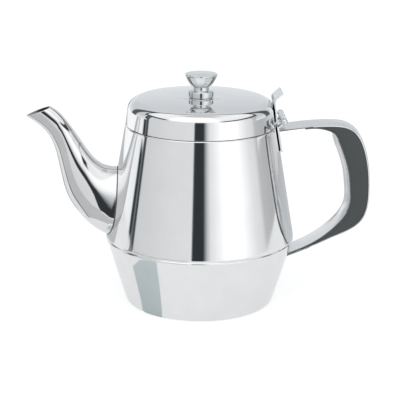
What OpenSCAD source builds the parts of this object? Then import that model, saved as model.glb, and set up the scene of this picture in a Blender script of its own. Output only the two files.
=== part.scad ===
// Stainless steel teapot: a double-cone body with a hinged lid, a two-piece swan-neck spout
// and an open handle of two steel bands around a moulded core.
// Origin: body axis on the table. Spout along -X, handle along +X, +Z up. Millimetres.

/* [Body] */
// Outer diameter of the lower cone carried down to the table
base_d = 104.2; // [100:0.2:108]
// Outer diameter at the ridge where the two cones meet
ridge_d = 133.2; // [130:0.2:136]
// Height of the ridge above the table
ridge_z = 47.3; // [46:0.1:48.5]
// Outer diameter at the shoulder under the lid
shoulder_d = 105.2; // [104.6:0.2:106]
// Height of the shoulder under the lid
shoulder_z = 128; // [127.6:0.1:128.1]
// Radius of the rounded foot corner
foot_r = 3.5; // [2:0.25:5]
// How far the bottom panel is pressed up above the table
base_recess = 1.5; // [0.5:0.25:3]
// Sheet thickness of the body, lid and spout
wall = 0.8; // [0.6:0.1:0.9]

/* [Neck] */
// Outer diameter of the neck that stands up inside the lid
neck_d = 99.2; // [98:0.2:99.4]
// Height of the top of the neck
neck_z = 133; // [131:0.5:134]

/* [Lid] */
// Outer diameter of the lid at the lower edge of its skirt
lid_d = 104.8; // [104.6:0.2:105.2]
// Clearance between the skirt and the shoulder
lid_gap = 0.25; // [0.2:0.05:0.4]
// Height where the skirt ends and the rounded edge starts
skirt_z = 138.6; // [138:0.2:139.4]
// Radius of the rounded edge of the lid
lid_edge_r = 8; // [7:0.25:9]
// Height of the flat seat under the knob
seat_z = 147; // [147:0.1:147.6]

/* [Knob] */
// Diameter of the top of the knob
knob_d = 22.4; // [20:0.1:24]
// Height of the knob above its seat
knob_h = 16.6; // [15:0.2:18]
// Diameter of the collar at the foot of the knob
knob_collar_d = 17.8; // [15:0.1:18]
// Diameter of the screw that holds the knob
screw_d = 4; // [3:0.5:4]

/* [Spout] */
// Width of the spout where it meets the body
spout_root_w = 37; // [34:0.2:40]
// Width of the spout at its mouth
spout_mouth_w = 12.4; // [11:0.2:14]

/* [Strainer] */
// Diameter of each hole punched through the body behind the spout
strainer_hole_d = 3; // [2:0.25:3.5]
// Distance between neighbouring holes
strainer_pitch = 5.2; // [5:0.2:7]

/* [Handle] */
// Width of the handle across both bands and the core
handle_w = 20.8; // [18:0.2:22]
// Thickness of the outer band
outer_band_t = 1; // [0.8:0.1:1.2]
// Thickness of the inner band
inner_band_t = 0.8; // [0.6:0.1:0.9]
// How far the outer band bulges at the grip
outer_crown = 1.2; // [0:0.2:2]
// How far the inner band bulges towards the fingers at the grip
inner_crown = 3; // [0:0.2:3.4]

/* [Hinge] */
// Distance of the hinge pin from the body axis
hinge_x = 57; // [56.8:0.1:57.4]
// Height of the hinge pin
hinge_z = 132.4; // [132.2:0.1:132.8]
// Diameter of the hinge pin
pin_d = 2; // [1.6:0.1:2.2]
// Radial clearance between the pin and the knuckles
pin_gap = 0.05; // [0.03:0.01:0.08]
// Outer diameter of the knuckles
knuckle_d = 4.4; // [4.2:0.1:4.6]
// Distance from one knuckle to the next
knuckle_pitch = 4.8; // [4.6:0.1:4.8]
// Gap between neighbouring knuckles
knuckle_gap = 0.2; // [0.1:0.05:0.3]
// Width of both hinge leaves
leaf_w = 22; // [20:0.5:24]
// Sheet thickness of the hinge leaves
leaf_t = 1; // [0.8:0.1:1.1]
// Diameter of the ball on each end of the pin
ball_d = 4.6; // [4:0.1:5]

/* [Hidden] */
$fn = 96;

steel = [0.80, 0.81, 0.82];
polished = [0.90, 0.91, 0.92];
moulding = [0.29, 0.31, 0.32];

// Radii and slopes that follow from the driving sizes
base_r = base_d / 2;
ridge_r = ridge_d / 2;
shoulder_r = shoulder_d / 2;
neck_r = neck_d / 2;
lid_r = lid_d / 2;
knob_r = knob_d / 2;
collar_r = knob_collar_d / 2;
pin_r = pin_d / 2;
bore_r = pin_r + pin_gap;
knuckle_r = knuckle_d / 2;
ball_r = ball_d / 2;
lower_slope = atan((ridge_r - base_r) / ridge_z);
upper_slope = atan((ridge_r - shoulder_r) / (shoulder_z - ridge_z));

// Body details
foot_x = base_r - foot_r * tan(45 - lower_slope / 2);   // radius where the foot corner meets the table
stand_w = 4.5;          // width of the ring that touches the table
recess_run = 2.5;       // how far the step up to the bottom panel reaches in
shoulder_corner = 0.9;  // bevel where the upper cone turns in under the lid
neck_foot = 0.6;        // bevel at the foot of the neck
rim_bevel = 0.3;        // softened top edge of the neck

// Lid details
skirt_taper = 7;        // degrees that the skirt leans in
dome_slope = 3.2;       // degrees of the domed top where it meets the rounded edge
seat_r = 12.2;          // radius of the raised seat under the knob
seat_step = 0.35;       // height of the seat above the dome
seat_bevel = 0.6;       // run of the bevel round the seat
lid_floor_z = shoulder_z + lid_gap;
skirt_top_r = lid_r - (skirt_z - lid_floor_z) * tan(skirt_taper);
edge_x = skirt_top_r - lid_edge_r * cos(skirt_taper);
edge_z = skirt_z - lid_edge_r * sin(skirt_taper);
dome_r = edge_x + lid_edge_r * sin(dome_slope);
dome_z = edge_z + lid_edge_r * cos(dome_slope);

// Knob details, with heights above its seat
collar_bevel = 0.8;     // bevel at the foot of the collar
collar_h = 4.4;
collar_edge = 0.5;      // radius of the collar's top edge
collar_rise = 0.7;      // how much the collar's top rises to the waist
waist_r = 5.5;          // narrowest radius, between collar and bowl
bowl_r = 6.1;           // radius where the bowl starts
bowl_z = 7.9;
bowl_step = 0.4;        // bevel between the waist and the bowl
rim_h = 1.1;            // height of the band round the top of the bowl
top_rise = 0.1;         // how much the middle of the top stands above its edge

// Knob fixing
hole_r = screw_d / 2 + 0.2;
washer_r = 7;
washer_t = 1;
screw_head_r = 4;
screw_head_h = 2.4;
head_edge = 1.2;        // rounding of the screw head
screw_reach = 8;        // length of thread inside the knob
slot_w = 1.2;

// Spout: side-view guide curves of its back (towards the lid) and its front, and its half width
spout_back = [[-55.5, 97], [-67.5, 97], [-77, 105.5], [-85, 118.5], [-96.5, 135.5], [-104, 140.2]];
spout_front = [[-66, 49.4], [-78, 55.5], [-87.3, 67], [-95, 78], [-99, 101.5], [-104, 122.5],
    [-121.3, 133.8]];
root_w = spout_root_w / 2;
mouth_w = spout_mouth_w / 2;
spout_half_w = [root_w, root_w, root_w * 0.73, root_w * 0.5, mouth_w * 1.12, mouth_w];
spout_rings = 20;
spout_sides = 10;
seam_gap = 0.1;         // weld gap between the spout and the cone
lip_start = 0.8;        // fraction of the spout where the pouring lip starts to narrow
lip_power = 0.45;       // how pointed the lip is
root_square = 0.3;      // how much squarer than an ellipse the root is
belly = 0.42;           // how much fuller the root is towards its front seam than its back seam
belly_mid = 0.5;        // fraction of the spout where the two seams are equally full
belly_fade = [0.7, 0.9];    // fractions of the spout over which that difference dies out

// Strainer: an oval patch of holes inside the spout's root
strainer_z = 75;
strainer_half_h = 18;
strainer_half_w = 10;

// Handle: side-view guide curves of its outside and of its finger side, from the top down
handle_outside = [[53, 125.2], [72.5, 128], [89, 129], [108, 128.3], [117, 107.5], [119.5, 83],
    [118, 56.5], [92.5, 47], [84, 42], [61, 33.2]];
handle_inside = [[53, 123.4], [77, 128], [92, 124.2], [95, 120.2], [104, 98], [105.2, 82],
    [106.5, 68], [93, 52.5], [78, 42], [60.4, 35]];
handle_steps = 6;       // stations per guide span
handle_sides = 6;       // strips across the width
lap_start = 6;          // station where the inner band starts, lapped under the outer one
core_start = 8;         // first and last station of the core
core_end = 50;
flat_gap = 3;           // distance between the bands up to which they stay flat
full_crown_gap = 11;    // distance beyond that at which they have their full crown
lap_gap = 0.02;         // weld gap where the bands lap
core_gap = 0.06;        // adhesive gap between the core and the bands

// Hinge: side-view centre lines of the two leaves
seat_cut = 0.3;         // how deep the curved body is let into a flat leaf
leaf_clear = 0.1;       // gap from the leaf top to the shoulder line
leaf_face = leaf_t / cos(upper_slope) + lap_gap;    // outer face of the body leaf beyond the cone
body_leaf_z = 109.9;
body_leaf_top = shoulder_z - leaf_clear;
lid_leaf_z = hinge_z - knuckle_r + leaf_t / 2;
lid_leaf_h = 8.8;       // straight length of the lid leaf up the skirt
tab_bend = [50.9, 146.9];
tab_neck = [0.5, 2.2];  // from the leaf's upper bend to the tab's bend
tab_lap = [0.2, 0.2];
tab_tip = [56, 151.4];
tab_w = 20.5;
web_bite = 0.5;         // how deep a web runs into its leaf and its knuckle
knuckles = 5;
ball_y = knuckles * knuckle_pitch / 2 + ball_r + 0.1;

// Points of an arc around [x, z], from angle a0 to a1 in degrees
function arc(x, z, r, a0, a1, n = 10) =
    [for (i = [0:n]) [x + r * cos(a0 + (a1 - a0) * i / n), z + r * sin(a0 + (a1 - a0) * i / n)]];

// Guide point i of a list, carried straight on past both ends
function guide(p, i) =
    i < 0 ? 2 * p[0] - p[1] : i >= len(p) ? 2 * p[len(p) - 1] - p[len(p) - 2] : p[i];

// Cubic B-spline through a guide list, u from 0 to 1; it starts and ends on the end points
function spline(p, u) =
    let (s = u * (len(p) - 1), k = min(floor(s), len(p) - 2), t = s - k)
    (pow(1 - t, 3) * guide(p, k - 1)
        + (3 * pow(t, 3) - 6 * t * t + 4) * guide(p, k)
        + (-3 * pow(t, 3) + 3 * t * t + 3 * t + 1) * guide(p, k + 1)
        + pow(t, 3) * guide(p, k + 2)) / 6;

// Points along a path moved sideways by d; positive is to the right of the direction of travel
function shifted(path, d) =
    [for (i = [0:len(path) - 1])
        let (v = path[min(i + 1, len(path) - 1)] - path[max(i - 1, 0)], n = [v[1], -v[0]] / norm(v))
        path[i] + d * n];

function backwards(list) = [for (i = [len(list) - 1:-1:0]) list[i]];
function band(path_a, path_b) = concat(path_a, backwards(path_b));

// Radius of the upper and of the lower cone's outside at height z
function cone_r(z) = ridge_r - (z - ridge_z) * tan(upper_slope);
function lower_cone_r(z) = base_r + z * tan(lower_slope);

// Outside of the base cup from the ridge down to the centre of the bottom panel, moved in by d
function base_profile(d) = concat(
    [[ridge_r - d / cos(lower_slope), ridge_z]],
    arc(foot_x, foot_r, foot_r - d, -lower_slope, -90, 6),
    [[foot_x - stand_w, d], [foot_x - stand_w - recess_run, base_recess + d], [0, base_recess + d]]
);

// Outside of the upper shell from the ridge up to the rim, moved in by d
function upper_profile(d) = [
    [ridge_r - d / cos(upper_slope), ridge_z],
    [cone_r(shoulder_z - shoulder_corner) - d / cos(upper_slope), shoulder_z - shoulder_corner],
    [shoulder_r - shoulder_corner - d, shoulder_z - d],
    [neck_r + neck_foot - d, shoulder_z - d],
    [neck_r - d, shoulder_z + neck_foot - d],
    [neck_r - d, neck_z - rim_bevel],
    [neck_r - (d > 0 ? d - rim_bevel : rim_bevel), neck_z]
];

// Outside of the lid from the lower edge of the skirt to its centre, moved in by d
function lid_profile(d) = concat(
    [[lid_r - d, lid_floor_z]],
    arc(edge_x, edge_z, lid_edge_r - d, skirt_taper, 90 - dome_slope),
    [for (u = [0.25:0.25:1]) [
        dome_r + (seat_r + seat_bevel - dome_r) * u,
        dome_z - d + (seat_z - seat_step - dome_z) * (1 - pow(1 - u, 2))
    ]],
    [[seat_r, seat_z - d], [0, seat_z - d]]
);

module turned(profile) {
    rotate_extrude() polygon(profile);
}

// Side-view outline given thickness across the object's width
module across(w) {
    rotate([90, 0, 0]) linear_extrude(w, center = true) children();
}

module upper_cone() {
    translate([0, 0, ridge_z]) cylinder(h = shoulder_z - ridge_z, r1 = ridge_r, r2 = shoulder_r);
}

module lid_solid() {
    turned(concat([[0, lid_floor_z]], lid_profile(0)));
}

module body_base() {
    color(polished) turned(band(base_profile(0), base_profile(wall)));
}

module body_upper() {
    rows = floor(strainer_half_h / (strainer_pitch * sin(60)));
    cols = ceil(strainer_half_w / strainer_pitch);
    color(polished) difference() {
        turned(band(upper_profile(0), upper_profile(wall)));
        for (i = [-rows:rows], j = [-cols:cols]) {
            z = i * strainer_pitch * sin(60);
            y = (j + (i % 2 == 0 ? 0 : 0.5)) * strainer_pitch;
            if (pow(z / strainer_half_h, 2) + pow(y / strainer_half_w, 2) <= 1)
                translate([-ridge_r, y, strainer_z + z]) rotate([0, 90, 0])
                    cylinder(h = ridge_r / 3, d = strainer_hole_d);
        }
    }
}

// 0 below low, 1 above high and an even ramp between them
function ramp(x, low, high) =
    let (t = max(0, min(1, (x - low) / (high - low)))) t * t * (3 - 2 * t);

// Point of the spout's skin at fraction u of its length and angle a round it, moved in by d;
// a = 0 is the back seam, a = 180 the front seam, and the root lies on the body's cone
function spout_point(u, a, side, d) =
    let (
        back = spline(spout_back, u),
        front = spline(spout_front, u),
        mid = (back + front) / 2,
        half = (back - front) / 2,
        shrink = 1 - d / norm(half),
        lip = max(0, (u - lip_start) / (1 - lip_start)) * lip_power,
        square = 2 / (2 + root_square * pow(1 - u, 3)),
        narrowing = pow(max(0, (1 + cos(a)) / 2), lip / 2),
        w = (spline([for (x = spout_half_w) [x, 0]], u)[0] - d) * narrowing,
        fuller = belly * (1 - u / belly_mid) * (1 - ramp(u, belly_fade[0], belly_fade[1])),
        p = mid + half * shrink * sign(cos(a)) * pow(abs(cos(a)), square),
        y = side * w * pow(abs(sin(a)), square) * (1 - fuller * cos(a))
    )
    u > 0 ? [p[0], y, p[1]] : [-sqrt(pow(cone_r(p[1]) + seam_gap, 2) - y * y), y, p[1]];

// Half of the spout's shell: rings of outer points then inner points, from the root to the mouth
module spout_half(side) {
    n = spout_rings;
    m = spout_sides;
    row = 2 * (m + 1);
    points = [for (i = [0:n], j = [0:row - 1])
        spout_point(i / n, 180 * (j <= m ? j : row - 1 - j) / m, side, j <= m ? 0 : wall)];
    walls = [for (i = [0:n - 1], j = [0:row - 1])
        let (a = i * row + j, b = i * row + (j + 1) % row, c = b + row, e = a + row) [a, b, c, e]];
    root = [for (j = [0:m - 1]) [j, row - 1 - j, row - 2 - j, j + 1]];
    mouth = [for (f = root) [for (k = [3:-1:0]) f[k] + n * row]];
    faces = concat(walls, root, mouth);
    polyhedron(points, side < 0 ? faces : [for (f = faces) backwards(f)], convexity = 8);
}

module spout_front_half() {
    color(polished) spout_half(-1);
}

module spout_rear_half() {
    color(polished) spout_half(1);
}

// Stations along the handle: the outside path, and the finger side's path, which laps the outer
// band before the core starts
handle_n = handle_steps * (len(handle_outside) - 1);
outside = [for (i = [0:handle_n]) spline(handle_outside, i / handle_n)];
lapped = shifted(outside, outer_band_t + inner_band_t + lap_gap);
inside = [for (i = [0:handle_n]) i < core_start ? lapped[i] : spline(handle_inside, i / handle_n)];

// Row of points across the handle at station i of a path moved in by d, bulging by crown; the ends
// of the handle lie on the hinge leaf at the top and on the lower cone at the bottom
function handle_row(path, i, d, crown) =
    let (
        v = path[min(i + 1, handle_n)] - path[max(i - 1, 0)],
        n = [v[1], -v[0]] / norm(v),
        full = min(1, max(0, norm(outside[i] - inside[i]) - flat_gap) / full_crown_gap)
    )
    [for (j = [0:handle_sides])
        let (
            s = 2 * j / handle_sides - 1,
            p = path[i] + (d - crown * full * (1 - s * s)) * n,
            y = s * handle_w / 2
        )
        i == 0 ? [cone_r(p[1]) + leaf_face, y, p[1]]
        : i == handle_n ? [sqrt(pow(lower_cone_r(p[1]) + seam_gap, 2) - y * y), y, p[1]]
        : [p[0], y, p[1]]];

// Closed solid between two lists of rows, with the first list on the outside of the handle
module between_rows(outer, inner) {
    n = len(outer) - 1;
    ring = 2 * (handle_sides + 1);
    points = [for (i = [0:n]) each concat(outer[i], backwards(inner[i]))];
    sides = [for (i = [0:n - 1], j = [0:ring - 1])
        let (a = ring * i + j, b = ring * i + (j + 1) % ring) [a, a + ring, b + ring, b]];
    cap = [for (j = [0:handle_sides - 1]) [j, j + 1, ring - 2 - j, ring - 1 - j]];
    polyhedron(points, concat(sides, cap, [for (f = cap) [for (k = [3:-1:0]) f[k] + ring * n]]),
        convexity = 8);
}

module body_leaf_blank() {
    inner = [for (z = [body_leaf_z, body_leaf_top]) [cone_r(z) - seat_cut, z]];
    across(leaf_w) polygon(band(inner, shifted(inner, leaf_t + seat_cut)));
}

module handle_outer_band() {
    color(steel) between_rows(
        [for (i = [0:handle_n]) handle_row(outside, i, 0, outer_crown)],
        [for (i = [0:handle_n]) handle_row(outside, i, outer_band_t, outer_crown)]
    );
}

module handle_inner_band() {
    color(steel) between_rows(
        [for (i = [lap_start:handle_n]) handle_row(inside, i, -inner_band_t, -inner_crown)],
        [for (i = [lap_start:handle_n]) handle_row(inside, i, 0, -inner_crown)]
    );
}

module handle_core() {
    color(moulding) between_rows(
        [for (i = [core_start:core_end]) handle_row(outside, i, outer_band_t + core_gap, outer_crown)],
        [for (i = [core_start:core_end]) handle_row(inside, i, -inner_band_t - core_gap, -inner_crown)]
    );
}

// Cylinder of radius r and length h on the hinge axis, centred at y
module on_hinge(h, r, y = 0) {
    translate([hinge_x, y, hinge_z]) rotate([90, 0, 0]) cylinder(h = h, r = r, center = true);
}

// One knuckle ring and the web that ties it to its leaf along a side-view line
module knuckle(k, web) {
    w = knuckle_pitch - knuckle_gap;
    y = (k - (knuckles - 1) / 2) * knuckle_pitch;
    difference() {
        union() {
            on_hinge(w, knuckle_r, y);
            translate([0, y, 0]) across(w) sheet_line(web);
        }
        on_hinge(2 * w, bore_r, y);
    }
}

// Side-view outline of leaf sheet bent along a centre line
module sheet_line(path) {
    polygon(band(shifted(path, leaf_t / 2), shifted(path, -leaf_t / 2)));
}

module body_hinge_leaf() {
    web_foot = [cone_r(body_leaf_top) + leaf_t / 2, body_leaf_top - web_bite];
    web = [web_foot, [hinge_x, hinge_z - knuckle_r + web_bite]];
    color(steel) {
        difference() {
            body_leaf_blank();
            upper_cone();
        }
        for (k = [0:2:knuckles - 1]) knuckle(k, web);
    }
}

module lid_hinge_leaf() {
    skirt_bottom = [lid_r - (lid_leaf_z - lid_floor_z) * tan(skirt_taper), lid_leaf_z];
    lean = [-sin(skirt_taper), cos(skirt_taper)];
    away = leaf_t / 2 - seat_cut;
    foot = skirt_bottom + away * [cos(skirt_taper), sin(skirt_taper)];
    leaf = [foot, foot + lid_leaf_h * lean, tab_bend - tab_neck, tab_bend];
    tab = [tab_bend - tab_lap, tab_tip];
    web = [[foot[0] - tab_lap[0], lid_leaf_z], [hinge_x, lid_leaf_z]];
    color(steel) {
        difference() {
            union() {
                across(leaf_w) sheet_line(leaf);
                across(tab_w) sheet_line(tab);
            }
            lid_solid();
        }
        for (k = [1:2:knuckles - 1]) knuckle(k, web);
    }
}

module hinge_pin() {
    color(polished) {
        on_hinge(2 * ball_y, pin_r);
        translate([hinge_x, -ball_y, hinge_z]) sphere(ball_r);
    }
}

module hinge_pin_cap() {
    color(polished) difference() {
        translate([hinge_x, ball_y, hinge_z]) sphere(ball_r);
        on_hinge(2 * ball_y, pin_r);
    }
}

module lid_shell() {
    color(polished) difference() {
        turned(band(lid_profile(0), lid_profile(wall)));
        translate([0, 0, seat_z]) cylinder(h = 3 * wall, r = hole_r, center = true);
    }
}

module knob() {
    bowl_h = knob_h - rim_h - bowl_z;
    bowl = [for (a = [15:15:90])
        [bowl_r + (knob_r - bowl_r) * (sin(a) + 1 - cos(a)) / 2, bowl_z + bowl_h * (1 - cos(a))]];
    outline = concat(
        [[0, 0], [collar_r - collar_bevel, 0], [collar_r, collar_bevel]],
        arc(collar_r - collar_edge, collar_h - collar_edge, collar_edge, 0, 80, 3),
        [[waist_r, collar_h + collar_rise], [waist_r, bowl_z - bowl_step], [bowl_r, bowl_z]],
        bowl,
        [[knob_r, knob_h - rim_h + top_rise], [knob_r - 0.7 * rim_h, knob_h - top_rise], [0, knob_h]]
    );
    color(polished) translate([0, 0, seat_z]) difference() {
        turned(outline);
        translate([0, 0, -1]) cylinder(h = screw_reach + 1, d = screw_d);
    }
}

module knob_washer() {
    color(steel) translate([0, 0, seat_z - wall - washer_t]) difference() {
        cylinder(h = washer_t, r = washer_r);
        translate([0, 0, -washer_t]) cylinder(h = 3 * washer_t, r = hole_r);
    }
}

module knob_screw() {
    head_z = seat_z - wall - washer_t - screw_head_h;
    head = concat(
        [[0, 0]],
        arc(screw_head_r - head_edge, head_edge, head_edge, -90, 0, 4),
        [[screw_head_r, screw_head_h], [0, screw_head_h]]
    );
    color(steel) translate([0, 0, head_z]) difference() {
        union() {
            turned(head);
            translate([0, 0, screw_head_h / 2])
                cylinder(h = screw_head_h / 2 + washer_t + wall + screw_reach, d = screw_d);
        }
        cube([2 * screw_head_r + 1, slot_w, screw_head_h], center = true);
    }
}

body_base();
body_upper();
spout_front_half();
spout_rear_half();
body_hinge_leaf();
hinge_pin();
hinge_pin_cap();
handle_outer_band();
handle_inner_band();
handle_core();
lid_shell();
lid_hinge_leaf();
knob();
knob_washer();
knob_screw();
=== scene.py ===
"""Looks of a polished stainless steel teapot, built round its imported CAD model.

The outlines repeat the design's own dimensions in millimetres; what the frame can give is read from it.
Every piece is remade here with finer curves, rounded edges and formed details, and stands for its CAD node,
except the hinge's pin, the pin's cap and the two leaves, which stay as packed, the leaves with a small bevel.
The weld round the spout's root is added. Axes: spout along -X, handle along +X, +Z up, hinge pin along Y.
"""

import math

import bmesh
import bpy
import numpy as np
from mathutils import Matrix, Vector


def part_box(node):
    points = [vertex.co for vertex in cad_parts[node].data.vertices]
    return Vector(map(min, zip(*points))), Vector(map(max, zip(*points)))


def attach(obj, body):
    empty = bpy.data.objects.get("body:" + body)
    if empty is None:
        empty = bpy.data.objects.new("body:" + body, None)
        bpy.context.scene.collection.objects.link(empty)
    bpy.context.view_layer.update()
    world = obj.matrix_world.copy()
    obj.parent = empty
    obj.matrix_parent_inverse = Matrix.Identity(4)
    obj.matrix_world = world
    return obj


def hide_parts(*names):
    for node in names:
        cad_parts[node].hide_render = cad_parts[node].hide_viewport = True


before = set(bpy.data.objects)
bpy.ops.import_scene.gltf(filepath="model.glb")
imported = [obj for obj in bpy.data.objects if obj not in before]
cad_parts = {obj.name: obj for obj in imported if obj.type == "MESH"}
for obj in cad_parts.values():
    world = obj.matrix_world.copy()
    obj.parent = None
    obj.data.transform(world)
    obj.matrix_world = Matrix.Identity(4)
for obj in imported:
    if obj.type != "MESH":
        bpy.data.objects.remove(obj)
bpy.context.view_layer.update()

MM = 0.001


def box_mm(node):
    """Lowest and highest corner of a CAD node in millimetres."""
    lo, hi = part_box(node)
    return lo / MM, hi / MM


# ---------------------------------------------------------------- sizes, in millimetres

UPPER_HI = box_mm("body_upper")[1]
LID_LO, LID_HI = box_mm("lid_shell")
KNOB_LO, KNOB_HI = box_mm("knob")
CORE_LO, CORE_HI = box_mm("handle_core")

WALL = 0.8                   # sheet of the body, spout and lid
RIDGE_R = UPPER_HI.y
RIDGE_Z = box_mm("body_base")[1].z
BASE_R = 52.1
SHOULDER_R = 52.6
SHOULDER_Z = 128.0
NECK_R = 49.6
NECK_Z = UPPER_HI.z
LOWER_SLOPE = math.atan((RIDGE_R - BASE_R) / RIDGE_Z)
UPPER_SLOPE = math.atan((RIDGE_R - SHOULDER_R) / (SHOULDER_Z - RIDGE_Z))

LID_R = LID_HI.y
LID_FLOOR_Z = LID_LO.z
SEAT_Z = LID_HI.z
SKIRT_Z = 138.6
LID_EDGE_R = 8.0
SKIRT_TAPER = math.radians(7)
DOME_SLOPE = math.radians(3.2)
SEAT_R = 12.2
SCREW_HOLE_R = 2.2

KNOB_R = KNOB_HI.y
KNOB_H = KNOB_HI.z - KNOB_LO.z

HANDLE_W = CORE_HI.y - CORE_LO.y
OUTER_BAND_T = 1.0
INNER_BAND_T = 0.8
LEAF_T = 1.0                 # sheet of the hinge's leaves


def cone_r(z):
    """Radius of the upper cone's outside."""
    return RIDGE_R - (z - RIDGE_Z) * math.tan(UPPER_SLOPE)


def lower_cone_r(z):
    """Radius of the lower cone's outside."""
    return BASE_R + z * math.tan(LOWER_SLOPE)


# ---------------------------------------------------------------- outlines

def rounded(corners, step=1.5, turn=math.radians(5)):
    """Points along a path of (x, z) or (x, z, radius) corners, each corner rounded to its radius,
    with points no more than step apart on the straight stretches and turn apart on the arcs."""
    path = [np.array(corners[0][:2], float)]
    for corner, after in zip(corners[1:], corners[2:]):
        p = np.array(corner[:2], float)
        a = path[-1] - p
        b = np.array(after[:2], float) - p
        a, b = a / np.linalg.norm(a), b / np.linalg.norm(b)
        bend = math.pi - math.acos(max(-1.0, min(1.0, float(a @ b))))
        radius = corner[2] if len(corner) > 2 else 0
        if radius == 0 or bend < 1e-4:
            path.append(p)
            continue
        cut = radius * math.tan(bend / 2)
        middle = p + (a + b) / np.linalg.norm(a + b) * radius / math.cos(bend / 2)
        start, end = p + a * cut - middle, p + b * cut - middle
        pieces = max(2, math.ceil(bend / turn))
        for k in range(pieces + 1):
            t = bend * k / pieces
            path.append(middle + (start * math.sin(bend - t) + end * math.sin(t)) / math.sin(bend))
    path.append(np.array(corners[-1][:2], float))
    points = [path[0]]
    for p in path[1:]:
        start = points[-1]
        pieces = max(1, math.ceil(np.linalg.norm(p - start) / step))
        points += [start + (p - start) * (k + 1) / pieces for k in range(pieces)]
    return points


def spline(guides, u):
    """Point at u from 0 to 1 of the cubic B-spline that a list of guide points pulls into shape."""
    p = np.array(guides, float)
    p = np.vstack([2 * p[0] - p[1], p, 2 * p[-1] - p[-2]])
    s = u * (len(guides) - 1)
    k = min(int(s), len(guides) - 2)
    t = s - k
    weights = ((1 - t) ** 3, 3 * t**3 - 6 * t * t + 4, -3 * t**3 + 3 * t * t + 3 * t + 1, t**3)
    return sum(w * p[k + i] for i, w in enumerate(weights)) / 6


def smooth(x, low, high):
    """0 below low, 1 above high and an eased ramp between them."""
    t = max(0.0, min(1.0, (x - low) / (high - low)))
    return t * t * (3 - 2 * t)


# ---------------------------------------------------------------- mesh building

def make_piece(name, points, faces, sharp=40):
    """Object from points in millimetres, smooth apart from edges sharper than the given angle."""
    mesh = bpy.data.meshes.new(name)
    mesh.from_pydata([tuple(float(c) * MM for c in p) for p in points], [], [list(f) for f in faces])
    bm = bmesh.new()
    bm.from_mesh(mesh)
    bmesh.ops.remove_doubles(bm, verts=bm.verts, dist=1e-6)
    bmesh.ops.recalc_face_normals(bm, faces=bm.faces)
    bm.to_mesh(mesh)
    bm.free()
    mesh.shade_smooth()
    mesh.set_sharp_from_angle(angle=math.radians(sharp))
    obj = bpy.data.objects.new(name, mesh)
    bpy.context.scene.collection.objects.link(obj)
    return obj


def lathe(name, outline, sides=192, closed=False):
    """Outline turned round the Z axis; a closed outline joins its last point to its first."""
    points, faces = [], []
    rows = len(outline)
    for k in range(sides):
        a = 2 * math.pi * k / sides
        points += [(x * math.cos(a), x * math.sin(a), z) for x, z in outline]
        nxt = (k + 1) % sides
        for j in range(rows if closed else rows - 1):
            i = (j + 1) % rows
            faces.append((k * rows + j, nxt * rows + j, nxt * rows + i, k * rows + i))
    return make_piece(name, points, faces)


def loft(name, rings, sheet=False, sharp=40):
    """Skin over a list of closed rings of points. Its two ends stay open, unless it is a sheet, whose rings
    run out along one face and back along the other: then its end edges are closed."""
    size = len(rings[0])
    points = [p for ring in rings for p in ring]
    faces = [
        (i * size + j, i * size + (j + 1) % size, (i + 1) * size + (j + 1) % size, (i + 1) * size + j)
        for i in range(len(rings) - 1)
        for j in range(size)
    ]
    if sheet:
        for base in (0, (len(rings) - 1) * size):
            faces += [
                (base + j, base + j + 1, base + size - 2 - j, base + size - 1 - j)
                for j in range(size // 2 - 1)
            ]
    return make_piece(name, points, faces, sharp)


def solid_loft(name, rings, sharp=50):
    """Loft with each end filled by one face."""
    piece = loft(name, rings)
    bm = bmesh.new()
    bm.from_mesh(piece.data)
    bmesh.ops.holes_fill(bm, edges=bm.edges)
    bmesh.ops.recalc_face_normals(bm, faces=bm.faces)
    bm.to_mesh(piece.data)
    bm.free()
    piece.data.set_sharp_from_angle(angle=math.radians(sharp))
    return piece


def rod(name, start, end, radius, sides=24):
    """Solid straight rod between two points in millimetres."""
    start, end = Vector(start), Vector(end)
    along = (end - start).normalized()
    across = along.orthogonal().normalized()
    up = along.cross(across)
    turn = [2 * math.pi * k / sides for k in range(sides)]
    rings = [[p + radius * (across * math.cos(a) + up * math.sin(a)) for a in turn] for p in (start, end)]
    return solid_loft(name, rings)


def cut_away(obj, cutters, sharp=40):
    """Subtracts the cutter objects from a piece, removes them and marks the piece's sharp edges again."""
    for cutter in cutters:
        cut = obj.modifiers.new("cut", "BOOLEAN")
        cut.operation = "DIFFERENCE"
        cut.solver = "EXACT"
        cut.object = cutter
    graph = bpy.context.evaluated_depsgraph_get()
    mesh = bpy.data.meshes.new_from_object(obj.evaluated_get(graph))
    obj.modifiers.clear()
    obj.data = mesh
    for cutter in cutters:
        bpy.data.objects.remove(cutter)
    mesh.set_sharp_from_angle(angle=math.radians(sharp))


# ---------------------------------------------------------------- materials

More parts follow.
